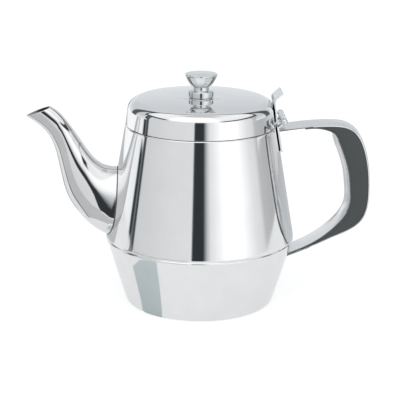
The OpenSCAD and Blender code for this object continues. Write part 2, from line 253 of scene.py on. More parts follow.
class Nodes:
    """Short way to add nodes and links to a material."""

    def __init__(self, tree):
        self.tree = tree

    def put(self, node, inputs):
        """Links or sets each input of a node."""
        for key, value in inputs.items():
            if isinstance(value, bpy.types.NodeSocket):
                self.tree.links.new(value, node.inputs[key])
            else:
                node.inputs[key].default_value = value

    def add(self, kind, inputs=(), **settings):
        node = self.tree.nodes.new(kind)
        for key, value in settings.items():
            setattr(node, key, value)
        self.put(node, dict(inputs))
        return node

    def math(self, operation, a, b=0.0):
        return self.add("ShaderNodeMath", {0: a, 1: b}, operation=operation).outputs[0]

    def noise(self, vector, scale, detail=2.0, rough=0.5):
        inputs = {"Vector": vector, "Scale": scale, "Detail": detail, "Roughness": rough}
        return self.add("ShaderNodeTexNoise", inputs).outputs["Fac"]

    def remap(self, value, span, target):
        """Takes the span of values, low and high, to the target's low and high."""
        inputs = {0: value, 1: span[0], 2: span[1], 3: target[0], 4: target[1]}
        return self.add("ShaderNodeMapRange", inputs).outputs[0]

    def mix(self, fac, a, b):
        node = self.add("ShaderNodeMix", data_type="RGBA")
        self.put(node, {0: fac, 6: a, 7: b})
        return node.outputs[2]

    def bump(self, height, distance, strength, normal=None):
        inputs = {"Height": height, "Distance": distance, "Strength": strength}
        if normal is not None:
            inputs["Normal"] = normal
        return self.add("ShaderNodeBump", inputs).outputs[0]

    def place(self):
        """Position on the piece, in metres."""
        return self.add("ShaderNodeTexCoord").outputs["Object"]

    def stretched(self, scale):
        """Position on the piece, scaled on each axis."""
        return self.add("ShaderNodeMapping", {"Vector": self.place(), "Scale": scale}).outputs[0]


def new_material(name):
    material = bpy.data.materials.new(name)
    material.use_nodes = True
    material.node_tree.nodes.clear()
    nodes = Nodes(material.node_tree)
    shader = nodes.add("ShaderNodeBsdfPrincipled")
    nodes.add("ShaderNodeOutputMaterial", {0: shader.outputs[0]})
    return material, nodes, shader


def turned_space(nodes, across, around):
    """Coordinates for marks that run round the Z axis: quick across them, nearly constant round it."""
    xyz = nodes.add("ShaderNodeSeparateXYZ", {0: nodes.place()}).outputs
    flat = nodes.add("ShaderNodeCombineXYZ", {0: xyz[0], 1: xyz[1]}).outputs[0]
    radius = nodes.add("ShaderNodeVectorMath", {0: flat}, operation="LENGTH").outputs["Value"]
    heading = nodes.add("ShaderNodeVectorMath", {0: flat}, operation="NORMALIZE").outputs[0]
    parts = nodes.add("ShaderNodeSeparateXYZ", {0: heading}).outputs
    level = nodes.math("MULTIPLY", nodes.math("SUBTRACT", xyz[2], radius), across)
    turned = {0: nodes.math("MULTIPLY", parts[0], around), 1: nodes.math("MULTIPLY", parts[1], around)}
    return nodes.add("ShaderNodeCombineXYZ", {**turned, 2: level}).outputs[0]


def polished_steel(
    name, roughness=0.05, turned=True, light=(0.80, 0.806, 0.812, 1), dark=(0.755, 0.762, 0.77, 1)
):
    """Mirror-polished stainless: faint polishing lines, soft smears and the sheet's slight waviness.
    Where a piece's "inside" attribute is 1 the sheet is left rough and dull, and its colour is darkened as
    painted shade."""
    material, nodes, shader = new_material(name)
    inside = nodes.add("ShaderNodeAttribute", attribute_name="inside").outputs["Fac"]
    space = turned_space(nodes, across=3500, around=2) if turned else nodes.stretched((250, 2500, 250))
    lines = nodes.noise(space, scale=1.0, detail=3.0, rough=0.6)
    smears = nodes.noise(nodes.place(), scale=38.0, detail=4.0, rough=0.55)
    waves = nodes.noise(nodes.place(), scale=16.0, detail=1.0, rough=0.4)
    polish = nodes.math(
        "ADD",
        nodes.remap(smears, (0.35, 0.7), (roughness * 0.75, roughness * 1.35)),
        nodes.remap(lines, (0.35, 0.65), (-0.012, 0.018)),
    )
    rough = nodes.math("ADD", polish, nodes.math("MULTIPLY", inside, 0.28))
    polished = nodes.mix(nodes.remap(smears, (0.3, 0.75), (0.0, 1.0)), light, dark)
    # The inside's dark colour is painted shade inside the tube.
    inside_colour_with_painted_shade = nodes.mix(smears, (0.20, 0.205, 0.21, 1), (0.30, 0.305, 0.31, 1))
    waviness = nodes.bump(waves, distance=0.0006, strength=0.25)
    nodes.put(shader, {
        "Metallic": 1.0,
        "Base Color": nodes.mix(inside, polished, inside_colour_with_painted_shade),
        "Roughness": rough,
        "Normal": nodes.bump(lines, distance=0.000004, strength=0.35, normal=waviness),
    })
    return material


def satin_steel(name, roughness=0.24, light=(0.75, 0.76, 0.775, 1), dark=(0.67, 0.68, 0.70, 1)):
    """Fine satin sheet, brushed along its length: the lines vary across the handle's width only."""
    material, nodes, shader = new_material(name)
    lines = nodes.noise(nodes.stretched((40, 5200, 40)), scale=1.0, detail=4.0, rough=0.6)
    smears = nodes.noise(nodes.place(), scale=70.0, detail=4.0, rough=0.55)
    rough = nodes.math(
        "ADD",
        nodes.remap(smears, (0.35, 0.7), (roughness * 0.85, roughness * 1.2)),
        nodes.remap(lines, (0.3, 0.7), (-0.04, 0.05)),
    )
    nodes.put(shader, {
        "Metallic": 1.0,
        "Base Color": nodes.mix(nodes.remap(lines, (0.3, 0.7), (0.0, 1.0)), light, dark),
        "Roughness": rough,
        "Normal": nodes.bump(lines, distance=0.00001, strength=0.5),
    })
    return material


def dull_steel(name):
    """Dull dark grey steel with a fine grain: the dressed weld's own colour, and painted shade on the handle
    bands' edges.
    """
    material, nodes, shader = new_material(name)
    grain = nodes.noise(nodes.place(), scale=2400.0, detail=3.0, rough=0.6)
    nodes.put(shader, {
        "Metallic": 0.8,
        "Base Color": nodes.mix(grain, (0.10, 0.103, 0.107, 1), (0.17, 0.175, 0.18, 1)),
        "Roughness": nodes.remap(grain, (0.3, 0.7), (0.42, 0.6)),
        "Normal": nodes.bump(grain, distance=0.00003, strength=0.6),
    })
    return material


def moulding(name):
    """Matte dark grey heat-resistant moulding: fine grain, faint flow marks and slightly rubbed patches."""
    material, nodes, shader = new_material(name)
    grain = nodes.noise(nodes.place(), scale=2600.0, detail=4.0, rough=0.65)
    flow = nodes.noise(nodes.place(), scale=45.0, detail=3.0, rough=0.5)
    both = nodes.math("MULTIPLY", nodes.math("ADD", grain, flow), 0.5)
    rubbed = nodes.remap(flow, (0.35, 0.7), (0.50, 0.62))
    nodes.put(shader, {
        "Specular IOR Level": 0.35,
        "Base Color": nodes.mix(both, (0.036, 0.041, 0.043, 1), (0.077, 0.083, 0.086, 1)),
        "Roughness": nodes.math("ADD", rubbed, nodes.remap(grain, (0.3, 0.7), (-0.04, 0.04))),
        "Normal": nodes.bump(grain, distance=0.00005, strength=0.55),
    })
    return material


BODY_STEEL = polished_steel("polished_steel_turned")
SPOUT_STEEL = polished_steel(
    "polished_steel_pressed", turned=False, light=(0.765, 0.77, 0.775, 1), dark=(0.70, 0.705, 0.71, 1)
)
KNOB_STEEL = polished_steel(
    "polished_steel_knob", 0.03, light=(0.72, 0.735, 0.74, 1), dark=(0.63, 0.65, 0.655, 1)
)
BAND_STEEL = satin_steel("satin_steel_band")
FINGER_STEEL = satin_steel("satin_steel_finger_side", 0.26, (0.90, 0.90, 0.90, 1), (0.80, 0.80, 0.80, 1))
LEAF_STEEL = satin_steel("satin_steel_leaf", 0.3, (0.86, 0.865, 0.87, 1), (0.77, 0.775, 0.78, 1))
BODY_LEAF_STEEL = satin_steel("satin_steel_body_leaf", 0.15, (0.80, 0.805, 0.81, 1), (0.70, 0.705, 0.71, 1))
# Dark steel laid on the handle bands' edges as painted shade.
EDGE_SHADE_STEEL = dull_steel("band_edge_painted_shade")
WELD_STEEL = dull_steel("dressed_weld")
CORE_MOULDING = moulding("dark_moulding")


def settle(obj, materials, body, slot, *nodes):
    """Gives a finished piece its materials and its body, and hides the CAD nodes it stands for. The slot is
    not used.
    """
    for material in materials:
        obj.data.materials.append(material)
    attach(obj, body)
    if nodes:
        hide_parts(*nodes)


# ---------------------------------------------------------------- body

ROLL_IN = 0.15               # the two shells' rolled edges stand this far inside the ridge's radius
SEAM_R = RIDGE_R - 0.75      # where the two shells meet in the weld line
SEAM_W = 0.6
FOOT_EDGE_R = 3.5
FOOT_W = 4.5                 # ring that stands on the table
RECESS = 1.5                 # height of the bottom above the foot
RING_H = 0.45                # pressed ring in the bottom, between two radii
RING_OUTER_R = 34.0
RING_INNER_R = 15.0
RING_SLANT = 0.8
STRAINER = {"z": 75.0, "half_h": 18.0, "half_w": 10.0, "hole_d": 3.0, "pitch": 5.2}


def body_base():
    """Lower cup: rolled top edge, round foot, stand ring and a bottom panel with a pressed ring."""
    foot_x = BASE_R - FOOT_EDGE_R * math.tan(math.pi / 4 - LOWER_SLOPE / 2)
    lean = WALL / math.cos(LOWER_SLOPE)

    def bottom(lift):
        """Corners of the bottom from the stand ring inwards, on the sheet's lower or upper face."""
        return [
            (foot_x - FOOT_W, lift, 1.0),
            (foot_x - FOOT_W - 2.5, RECESS + lift, 1.0),
            (RING_OUTER_R, RECESS + lift, 0.8),
            (RING_OUTER_R - RING_SLANT, RECESS + RING_H + lift, 0.8),
            (RING_INNER_R, RECESS + RING_H + lift, 0.8),
            (RING_INNER_R - RING_SLANT, RECESS + lift, 0.8),
        ]

    outer = [
        (SEAM_R, RIDGE_Z),
        (RIDGE_R - ROLL_IN, RIDGE_Z - 0.75, 1.2),
        (BASE_R, 0, FOOT_EDGE_R),
        *bottom(0),
        (0, RECESS),
    ]
    inner = [
        (0, RECESS + WALL),
        *reversed(bottom(WALL)),
        (lower_cone_r(WALL) - lean, WALL, FOOT_EDGE_R - WALL),
        (RIDGE_R - lean - ROLL_IN, RIDGE_Z - 0.6, 0.8),
        (SEAM_R - SEAM_W, RIDGE_Z),
    ]
    piece = lathe("body_base", rounded(outer) + rounded(inner) + [(SEAM_R, RIDGE_Z)])
    settle(piece, [BODY_STEEL], "pot", "polished_steel", "body_base")


def strainer_cutters():
    """Rods that punch the strainer's holes, in staggered rows inside an upright ellipse."""
    row_h = STRAINER["pitch"] * math.sin(math.radians(60))
    rows = int(STRAINER["half_h"] / row_h)
    columns = math.ceil(STRAINER["half_w"] / STRAINER["pitch"]) + 1
    cutters = []
    for i in range(-rows, rows + 1):
        for j in range(-columns, columns + 1):
            z = i * row_h
            y = (j + (0.5 if i % 2 else 0)) * STRAINER["pitch"]
            if (z / STRAINER["half_h"]) ** 2 + (y / STRAINER["half_w"]) ** 2 <= 1:
                z += STRAINER["z"]
                start, end = (-RIDGE_R - 1, y, z), (-RIDGE_R * 0.6, y, z)
                cutters.append(rod("cutter", start, end, STRAINER["hole_d"] / 2))
    return cutters


def body_upper():
    """Upper shell: rolled lower edge, cone, turned-in shoulder and the neck inside the lid."""
    lean = WALL / math.cos(UPPER_SLOPE)
    outline = [
        (SEAM_R - SEAM_W, RIDGE_Z),
        (SEAM_R, RIDGE_Z),
        (RIDGE_R - ROLL_IN, RIDGE_Z + 0.75, 2.2),
        (SHOULDER_R, SHOULDER_Z, 1.0),
        (NECK_R, SHOULDER_Z, 0.6),
        (NECK_R, NECK_Z, 0.38),
        (NECK_R - WALL, NECK_Z, 0.38),
        (NECK_R - WALL, SHOULDER_Z - WALL, 1.2),
        (SHOULDER_R - lean, SHOULDER_Z - WALL, 0.6),
        (RIDGE_R - lean - ROLL_IN, RIDGE_Z + 0.6, 1.4),
        (SEAM_R - SEAM_W, RIDGE_Z),
    ]
    piece = lathe("body_upper", rounded(outline)[:-1], closed=True)
    cut_away(piece, strainer_cutters())
    settle(piece, [BODY_STEEL], "pot", "polished_steel", "body_upper")


# ---------------------------------------------------------------- spout

SPOUT_BACK = [(-55.5, 97), (-67.5, 97), (-77, 105.5), (-85, 118.5), (-96.5, 135.5), (-104, 140.2)]
SPOUT_FRONT = [
    (-66, 49.4), (-78, 55.5), (-87.3, 67), (-95, 78), (-99, 101.5), (-104, 122.5), (-121.3, 133.8),
]
SPOUT_ROOT_W = 18.5          # half widths
SPOUT_MOUTH_W = 6.2
SPOUT_HALF_W = [
    SPOUT_ROOT_W, SPOUT_ROOT_W, SPOUT_ROOT_W * 0.73, SPOUT_ROOT_W * 0.5,
    SPOUT_MOUTH_W * 1.12, SPOUT_MOUTH_W,
]
SPOUT_BELLY = 0.42           # how much fuller the root is towards its front seam
BELLY_FADE = (0.7, 0.9)
SPOUT_SQUARE = 0.3           # how square the root's section is
SPOUT_LENGTH = 110.0
LIP_START = 0.8
LIP_POWER = 0.45
SEAM_GAP = 0.1
WELD_R = 0.36


def spout_point(u, a, side, d):
    """Point of the spout's skin at fraction u of its length and angle a round it, moved in by d."""
    back, front = spline(SPOUT_BACK, u), spline(SPOUT_FRONT, u)
    mid, half = (back + front) / 2, (back - front) / 2
    shrink = 1 - d / np.linalg.norm(half)
    lip = max(0.0, (u - LIP_START) / (1 - LIP_START)) * LIP_POWER
    square = 2 / (2 + SPOUT_SQUARE * (1 - u) ** 3)
    fuller = SPOUT_BELLY * (1 - 2 * u) * (1 - smooth(u, *BELLY_FADE))
    c, s = math.cos(a), math.sin(a)
    narrowing = max(1e-9, (1 + c) / 2) ** (lip / 2)
    w = (spline([(x, 0) for x in SPOUT_HALF_W], u)[0] - d) * narrowing
    x, z = mid + half * shrink * math.copysign(abs(c) ** square, c)
    y = side * w * abs(s) ** square * (1 - fuller * c)
    if u <= 0:
        x = -math.sqrt((cone_r(z) + SEAM_GAP) ** 2 - y * y)
    return (x, y, z)


def spout_half(name, side):
    """One pressed half of the spout, from its root on the cone to its rounded pouring edge."""
    stations, sides, rim_steps = 110, 44, 5
    rim = WALL / 2
    lengths = [(i / stations, 0.0) for i in range(stations)]
    for k in range(rim_steps + 1):
        turn = math.pi / 2 * k / rim_steps
        lengths.append((1 - rim / SPOUT_LENGTH * (1 - math.sin(turn)), rim * (1 - math.cos(turn))))
    crowding = 0.14          # draws the points towards the seams, where the section is tightest
    turns = [j / sides for j in range(sides + 1)]
    angles = [math.pi * (t - crowding * math.sin(2 * math.pi * t)) for t in turns]
    rings = []
    for u, worn in lengths:
        outer = [spout_point(u, a, side, worn) for a in angles]
        inner = [spout_point(u, a, side, WALL - worn * 0.98) for a in reversed(angles)]
        rings.append(outer + inner)
    piece = loft(name, rings, sheet=True, sharp=55)
    mark_inside(piece)
    settle(piece, [SPOUT_STEEL], "pot", "polished_steel", name)


def mark_inside(piece):
    """Marks the spout's inside, left rough and painted dark as shade: the points whose skin faces the middle
    of the tube.
    """
    along = np.linspace(0, 1, 60)
    middles = [(spline(SPOUT_BACK, u) + spline(SPOUT_FRONT, u)) / 2 * MM for u in along]
    mesh = piece.data
    inside = mesh.attributes.new("inside", "FLOAT", "POINT")
    for vertex, value in zip(mesh.vertices, inside.data):
        x, y, z = vertex.co
        mx, mz = min(middles, key=lambda m: (m[0] - x) ** 2 + (m[1] - z) ** 2)
        inward = Vector((mx - x, -y, mz - z)).normalized()
        value.value = 1.0 if vertex.normal.dot(inward) > 0.35 else 0.0


def spout_weld():
    """Fine, slightly uneven weld bead where the spout meets the cone, dressed but still a little dull."""
    around, sides = 180, 10
    path = []
    for k in range(around):
        t = 2 * math.pi * k / around
        front = t < math.pi
        path.append(np.array(spout_point(0, t if front else 2 * math.pi - t, -1 if front else 1, 0)))
    rings = []
    for k in range(around + 1):
        p = path[k % around]
        along = path[(k + 1) % around] - path[k % around - 1]
        along /= np.linalg.norm(along)
        out = np.array((p[0], p[1], 0.0)) / np.linalg.norm(p[:2])
        across = np.cross(along, out)
        across /= np.linalg.norm(across)
        lift = np.cross(across, along)
        r = WELD_R * (1 + 0.08 * math.sin(17 * k) * math.sin(5.3 * k))
        turns = [2 * math.pi * j / sides for j in range(sides)]
        rings.append([tuple(p + r * (across * math.cos(a) + lift * math.sin(a))) for a in turns])
    settle(loft("spout_weld", rings), [WELD_STEEL], "pot", "polished_steel")


# ---------------------------------------------------------------- handle

HANDLE_OUTSIDE = [
    (53, 125.2), (72.5, 128), (89, 129), (108, 128.3), (117, 107.5), (119.5, 83),
    (118, 56.5), (92.5, 47), (84, 42), (61, 33.2),
]
HANDLE_INSIDE = [
    (53, 123.4), (77, 128), (92, 124.2), (95, 120.2), (104, 98), (105.2, 82),
    (106.5, 68), (93, 52.5), (78, 42), (60.4, 35),
]
SPANS = len(HANDLE_OUTSIDE) - 1
STEPS = 18                   # stations per guide span
LAP_START = 1.0              # guide spans from the top end
CORE_START = 8 / 6
CORE_END = 50 / 6
CORE_INSET = 0.15            # how far the core's sides lie inside the bands' edges
OUTER_CROWN = 1.2
INNER_CROWN = 3.0
CROWN_FROM = 3               # depth of the handle where its faces start to bulge, and where they are full
CROWN_FULL = 14
LAP_GAP = 0.02
EDGE_SHADE_TO = 78              # x up to which the outer band's lower edge is painted dark as shade
LEAF_FACE = LEAF_T / math.cos(UPPER_SLOPE) + LAP_GAP


def side_normals(path):
    """Unit vectors to the right of the direction of travel at each point of a side-view path."""
    travel = np.gradient(np.array(path), axis=0)
    travel /= np.linalg.norm(travel, axis=1)[:, None]
    return np.stack([travel[:, 1], -travel[:, 0]], axis=1)


def handle_paths():
    """Side-view paths of the handle's outside and of its finger side, which laps the outer band first."""
    count = SPANS * STEPS
    outside = np.array([spline(HANDLE_OUTSIDE, i / count) for i in range(count + 1)])
    lapped = outside + side_normals(outside) * (OUTER_BAND_T + INNER_BAND_T + LAP_GAP)
    inside = np.array([spline(HANDLE_INSIDE, i / count) for i in range(count + 1)])
    for i in range(count + 1):
        part = smooth(i / STEPS, CORE_START - 0.15, CORE_START + 0.25)
        inside[i] = lapped[i] * (1 - part) + inside[i] * part
    return outside, inside


OUTSIDE, INSIDE = handle_paths()
CROWNING = [
    min(1.0, max(0.0, np.linalg.norm(a - b) - CROWN_FROM) / (CROWN_FULL - CROWN_FROM))
    for a, b in zip(OUTSIDE, INSIDE)
]


def handle_point(path, normals, i, s, d, crown, half_w):
    """Point across the handle at station i, s from -1 to 1, moved in by d and bulging by crown."""
    x, z = path[i] + (d - crown * CROWNING[i] * (1 - s * s)) * normals[i]
    y = s * half_w
    if i == 0:
        x = cone_r(z) + LEAF_FACE
    elif i == len(path) - 1:
        x = math.sqrt((lower_cone_r(z) + SEAM_GAP) ** 2 - y * y)
    return (x, y, z)


def band(name, path, first, thickness, crown, depth):
    """Sheet band with round edges along a path; depth is how far its outer face lies inside the path."""
    normals = side_normals(path)
    across, edge = 16, 6
    h = thickness / 2
    half_w = HANDLE_W / 2
    flat = 1 - h / half_w
    half_ring = [((2 * k / across - 1) * flat, depth) for k in range(across + 1)]
    for k in range(1, edge):
        a = math.pi * (0.5 - k / edge)
        half_ring.append((1 - (1 - flat) * (1 - math.cos(a)), depth + h * (1 - math.sin(a))))
    ring = half_ring + [(-s, 2 * (depth + h) - d) for s, d in half_ring]
    rings = [
        [handle_point(path, normals, i, s, d, crown, half_w) for s, d in ring]
        for i in range(first, len(path))
    ]
    return solid_loft(name, rings)


def handle_outer_band():
    """Outer band: satin, with its lower edge painted dark as shade near the top, where no inner band covers
    it yet.
    """
    piece = band("handle_outer_band", OUTSIDE, 0, OUTER_BAND_T, OUTER_CROWN, 0.0)
    settle(piece, [BAND_STEEL, EDGE_SHADE_STEEL], "pot", "sheet_steel", "handle_outer_band")
    for face in piece.data.polygons:
        shaded_underside = abs(face.normal.y) > 0.3 and face.normal.z < 0.35
        face.material_index = int(shaded_underside and face.center.x < EDGE_SHADE_TO * MM)


def handle_inner_band():
    """Band on the finger side, from the lap at the top to the lower end, with its side edges painted dark as
    shade.
    """
    first = round(LAP_START * STEPS)
    piece = band("handle_inner_band", INSIDE, first, INNER_BAND_T, -INNER_CROWN, -INNER_BAND_T)
    settle(piece, [FINGER_STEEL, EDGE_SHADE_STEEL], "pot", "sheet_steel", "handle_inner_band")
    for face in piece.data.polygons:
        face.material_index = int(abs(face.normal.y) > 0.6)


def handle_core():
    """Moulded core between the bands, a little narrower, with softened long edges."""
    outer_normals, inner_normals = side_normals(OUTSIDE), side_normals(INSIDE)
    half_w = HANDLE_W / 2 - CORE_INSET
    across, corner = 14, 4
    quarter = [math.pi / 2 * k / corner for k in range(corner + 1)]
    rings = []
    for i in range(round(CORE_START * STEPS), round(CORE_END * STEPS) + 1):
        def point(s, t):
            """s across the width, t from the outer band's back (0) to the inner band's back (1)."""
            a = np.array(handle_point(OUTSIDE, outer_normals, i, s, OUTER_BAND_T, OUTER_CROWN, half_w))
            b = np.array(handle_point(INSIDE, inner_normals, i, s, -INNER_BAND_T, -INNER_CROWN, half_w))
            return tuple(a + (b - a) * t)

        depth = np.linalg.norm(OUTSIDE[i] - INSIDE[i]) - OUTER_BAND_T - INNER_BAND_T
        r = min(0.5, max(0.05, depth * 0.45))
        flat = 1 - r / half_w
        inset = r / max(depth, 0.2)
        half_ring = [((2 * k / across - 1) * flat, 0) for k in range(across + 1)]
        half_ring += [(flat + (1 - flat) * math.sin(a), inset * (1 - math.cos(a))) for a in quarter[1:]]
        half_ring += [(flat + (1 - flat) * math.cos(a), 1 - inset * (1 - math.sin(a))) for a in quarter[:-1]]
        rings.append([point(s, t) for s, t in half_ring] + [point(-s, 1 - t) for s, t in half_ring])
    piece = solid_loft("handle_core", rings)
    settle(piece, [CORE_MOULDING], "pot", "handle_moulding", "handle_core")


# ---------------------------------------------------------------- lid and knob

SEAT_STEP = 0.35             # the raised seat under the knob
SEAT_SLOPE_W = 0.9
CUT_EDGE = 0.25              # softening of the skirt's cut edge, upwards and across
CUT_EDGE_IN = 0.2


def lid_shell():
    """Lid pressed from one sheet: cut skirt edge, round shoulder, dome and the seat under the knob."""
    skirt_top_r = LID_R - (SKIRT_Z - LID_FLOOR_Z) * math.tan(SKIRT_TAPER)
    edge_x = skirt_top_r - LID_EDGE_R * math.cos(SKIRT_TAPER)
    edge_z = SKIRT_Z - LID_EDGE_R * math.sin(SKIRT_TAPER)
    dome_x = edge_x + LID_EDGE_R * math.sin(DOME_SLOPE)
    dome_z = edge_z + LID_EDGE_R * math.cos(DOME_SLOPE)
    step_x = SEAT_R + SEAT_SLOPE_W
    step_z = SEAT_Z - SEAT_STEP
    edge_steps, dome_steps = 36, 12

    def skin(d):
        """One face of the sheet from the skirt's edge to the screw's hole, moved in by d."""
        path = [(LID_R - d, LID_FLOOR_Z + CUT_EDGE)]
        for k in range(edge_steps + 1):
            a = SKIRT_TAPER + (math.pi / 2 - DOME_SLOPE - SKIRT_TAPER) * k / edge_steps
            r = LID_EDGE_R - d
            path.append((edge_x + r * math.cos(a), edge_z + r * math.sin(a)))
        for k in range(1, dome_steps):
            t = k / dome_steps
            path.append((dome_x + (step_x - dome_x) * t, dome_z - d + (step_z - dome_z) * (1 - (1 - t) ** 2)))
        seat = [(step_x, step_z - d, 0.6), (SEAT_R, SEAT_Z - d, 0.6), (SCREW_HOLE_R, SEAT_Z - d)]
        return rounded(path + seat)

    cut_edge = [(LID_R - WALL + CUT_EDGE_IN, LID_FLOOR_Z), (LID_R - CUT_EDGE_IN, LID_FLOOR_Z)]
    piece = lathe("lid_shell", skin(0) + skin(WALL)[::-1] + cut_edge, sides=224, closed=True)
    settle(piece, [BODY_STEEL], "lid", "polished_steel", "lid_shell")


COLLAR_R = 8.9
COLLAR_H = 4.4
COLLAR_BEVEL = 0.8
COLLAR_RISE = 0.7            # slope from the collar's top edge to the waist
WAIST_R = 5.5
BOWL_R = 6.1                 # bowl at its foot
BOWL_Z = 7.9
BOWL_STEP = 0.4
KNOB_RIM_H = 1.1


def knob():
    """Turned knob: collar with a bevelled foot, waist, flaring bowl and a slightly domed top."""
    turn = math.radians(8)
    path = rounded([
        (0, 0), (COLLAR_R - COLLAR_BEVEL, 0), (COLLAR_R, COLLAR_BEVEL, 0.3), (COLLAR_R, COLLAR_H, 0.6),
        (WAIST_R, COLLAR_H + COLLAR_RISE, 0.5), (WAIST_R, BOWL_Z - BOWL_STEP, 0.3), (BOWL_R, BOWL_Z),
    ], turn=turn)
    bowl_h = KNOB_H - KNOB_RIM_H - BOWL_Z
    bowl_steps = 25
    for k in range(1, bowl_steps):
        a = math.pi / 2 * k / bowl_steps
        flare = (math.sin(a) + 1 - math.cos(a)) / 2
        path.append((BOWL_R + (KNOB_R - BOWL_R) * flare, BOWL_Z + bowl_h * (1 - math.cos(a))))
    path += rounded([(KNOB_R, KNOB_H - KNOB_RIM_H), (KNOB_R, KNOB_H - 0.25, 0.45), (0, KNOB_H)], turn=turn)
    piece = lathe("knob", [(x, z + KNOB_LO.z) for x, z in path], sides=128)
    settle(piece, [KNOB_STEEL], "lid", "polished_steel", "knob")


def knob_washer():
    """Flat washer under the screw's head, inside the lid."""
    lo, hi = box_mm("knob_washer")
    outline = rounded([
        (SCREW_HOLE_R, lo.z), (hi.y, lo.z, 0.25), (hi.y, hi.z, 0.25), (SCREW_HOLE_R, hi.z),
        (SCREW_HOLE_R, lo.z),
    ], step=2)
    piece = lathe("knob_washer", outline[:-1], sides=96, closed=True)
    settle(piece, [LEAF_STEEL], "lid", "sheet_steel", "knob_washer")


def knob_screw():
    """Pan-head screw seen from inside the lid, with its slot and a plain shank."""
    lo, hi = box_mm("knob_screw")
    head_r, head_h, shank_r, slot_r = hi.y, 2.4, 1.98, 0.85
    outline = rounded([
        (0, lo.z), (head_r, lo.z, 1.2), (head_r, lo.z + head_h, 0.15), (shank_r, lo.z + head_h),
        (shank_r, hi.z, 0.3), (0, hi.z),
    ])
    piece = lathe("knob_screw", outline, sides=64)
    cut_away(piece, [rod("cutter", (0, -head_r - 1, lo.z), (0, head_r + 1, lo.z), slot_r, sides=4)])
    settle(piece, [LEAF_STEEL], "lid", "sheet_steel", "knob_screw")


# ---------------------------------------------------------------- hinge

def finish_hinge(node, material, soft=0):
    """Keeps a hinge piece as packed, with its sheared edges broken by a small bevel if soft is given."""
    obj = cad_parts[node]
    obj.data.materials.clear()
    obj.data.materials.append(material)
    if soft:
        bevel = obj.modifiers.new("soft", "BEVEL")
        bevel.width = soft * MM
        bevel.segments = 3
        bevel.limit_method = "ANGLE"
        bevel.angle_limit = math.radians(40)
        bevel.harden_normals = True


body_base()
body_upper()
spout_half("spout_front_half", -1)
spout_half("spout_rear_half", 1)
spout_weld()
handle_outer_band()
handle_inner_band()
handle_core()
lid_shell()
knob()
knob_washer()
knob_screw()
finish_hinge("body_hinge_leaf", BODY_LEAF_STEEL, soft=0.16)
finish_hinge("lid_hinge_leaf", LEAF_STEEL, soft=0.16)
finish_hinge("hinge_pin", KNOB_STEEL)
finish_hinge("hinge_pin_cap", KNOB_STEEL)


# ---------------------------------------------------------------- camera, in metres

CAMERA_AZIMUTH = math.radians(-3.0)
CAMERA_DISTANCE = 1.008
CAMERA_HEIGHT = 0.369
CAMERA_PITCH = math.radians(16.4)
CAMERA_ROLL = math.radians(0.62)
CAMERA_LENS = 133.6


def toward(azimuth):
    """Level unit vector from the pot, at an angle from the camera's side towards the handle."""
    a = azimuth + CAMERA_AZIMUTH
    return Vector((math.sin(a), -math.cos(a), 0))


def lifted(z):
    """Vector straight up."""
    return Vector((0, 0, z))


def make_camera():
    data = bpy.data.cameras.new("camera")
    data.sensor_width = 36
    data.lens = CAMERA_LENS
    camera = bpy.data.objects.new("camera", data)
    forward = -toward(0) * math.cos(CAMERA_PITCH) - lifted(math.sin(CAMERA_PITCH))
    level = forward.cross(lifted(1)).normalized()
    right = level * math.cos(CAMERA_ROLL) + level.cross(forward) * math.sin(CAMERA_ROLL)
    turned = Matrix((right, right.cross(forward), -forward)).transposed().to_4x4()
    place = toward(0) * CAMERA_DISTANCE + lifted(CAMERA_HEIGHT)
    camera.matrix_world = Matrix.Translation(place) @ turned
    bpy.context.scene.collection.objects.link(camera)
    bpy.context.scene.camera = camera


# ---------------------------------------------------------------- table, in metres

# The camera sees a plain pale table. The steel mirrors a slightly darker one with cards and a painted shadow
# of the pot lying on it, which the camera doesn't see. Each layer lies just above the one below it.
TABLE_R = 0.72
MIRRORED_Z = 0.00015
BEHIND_Z = 0.0002
CARD_Z = 0.0003
WEDGE_Z = 0.0006
CARD_NEAR = 0.14
CARD_FAR = TABLE_R - 0.001


def stage_patch(name, corners, base, glow=0.0):
    """Flat plain patch of the stage, from its corner points."""
    mesh = bpy.data.meshes.new(name)
    mesh.from_pydata([tuple(c) for c in corners], [], [list(range(len(corners)))])
    patch = bpy.data.objects.new(name, mesh)
    bpy.context.scene.collection.objects.link(patch)
    material, nodes, shader = new_material(name)
    nodes.put(shader, {
        "Base Color": (*base, 1),
        "Roughness": 0.9,
        "Specular IOR Level": 0.1,
        "Emission Color": (1, 1, 1, 1),
        "Emission Strength": glow,
    })
    mesh.materials.append(material)
    return patch


def mirrored_patch(name, corners, base, glow=0.0):
    """Patch that shows only in the steel."""
    patch = stage_patch(name, corners, base, glow)
    patch.visible_camera = False
    patch.visible_diffuse = False
    patch.visible_shadow = False


def disc(z):
    """Corners of the round table, at a height."""
    return [toward(2 * math.pi * k / 96) * TABLE_R + lifted(z) for k in range(96)][::-1]


def sector(start, end, low, high, z):
    """Corners of a piece of a ring on the table, between two azimuths in degrees and two radii."""
    steps = [toward(math.radians(a)) for a in np.linspace(start, end, 24)]
    return [s * high + lifted(z) for s in steps] + [s * low + lifted(z) for s in steps[::-1]]


def make_table():
    table = stage_patch("floor", disc(0), (0.45, 0.45, 0.45), glow=0.68)
    table.visible_glossy = False
    mirrored_patch("floor_mirrored", disc(MIRRORED_Z), (0.55, 0.55, 0.55), glow=0.51)
    mirrored_patch("floor_behind", sector(115, 245, 0.17, CARD_FAR, BEHIND_Z), (0.72, 0.73, 0.74))


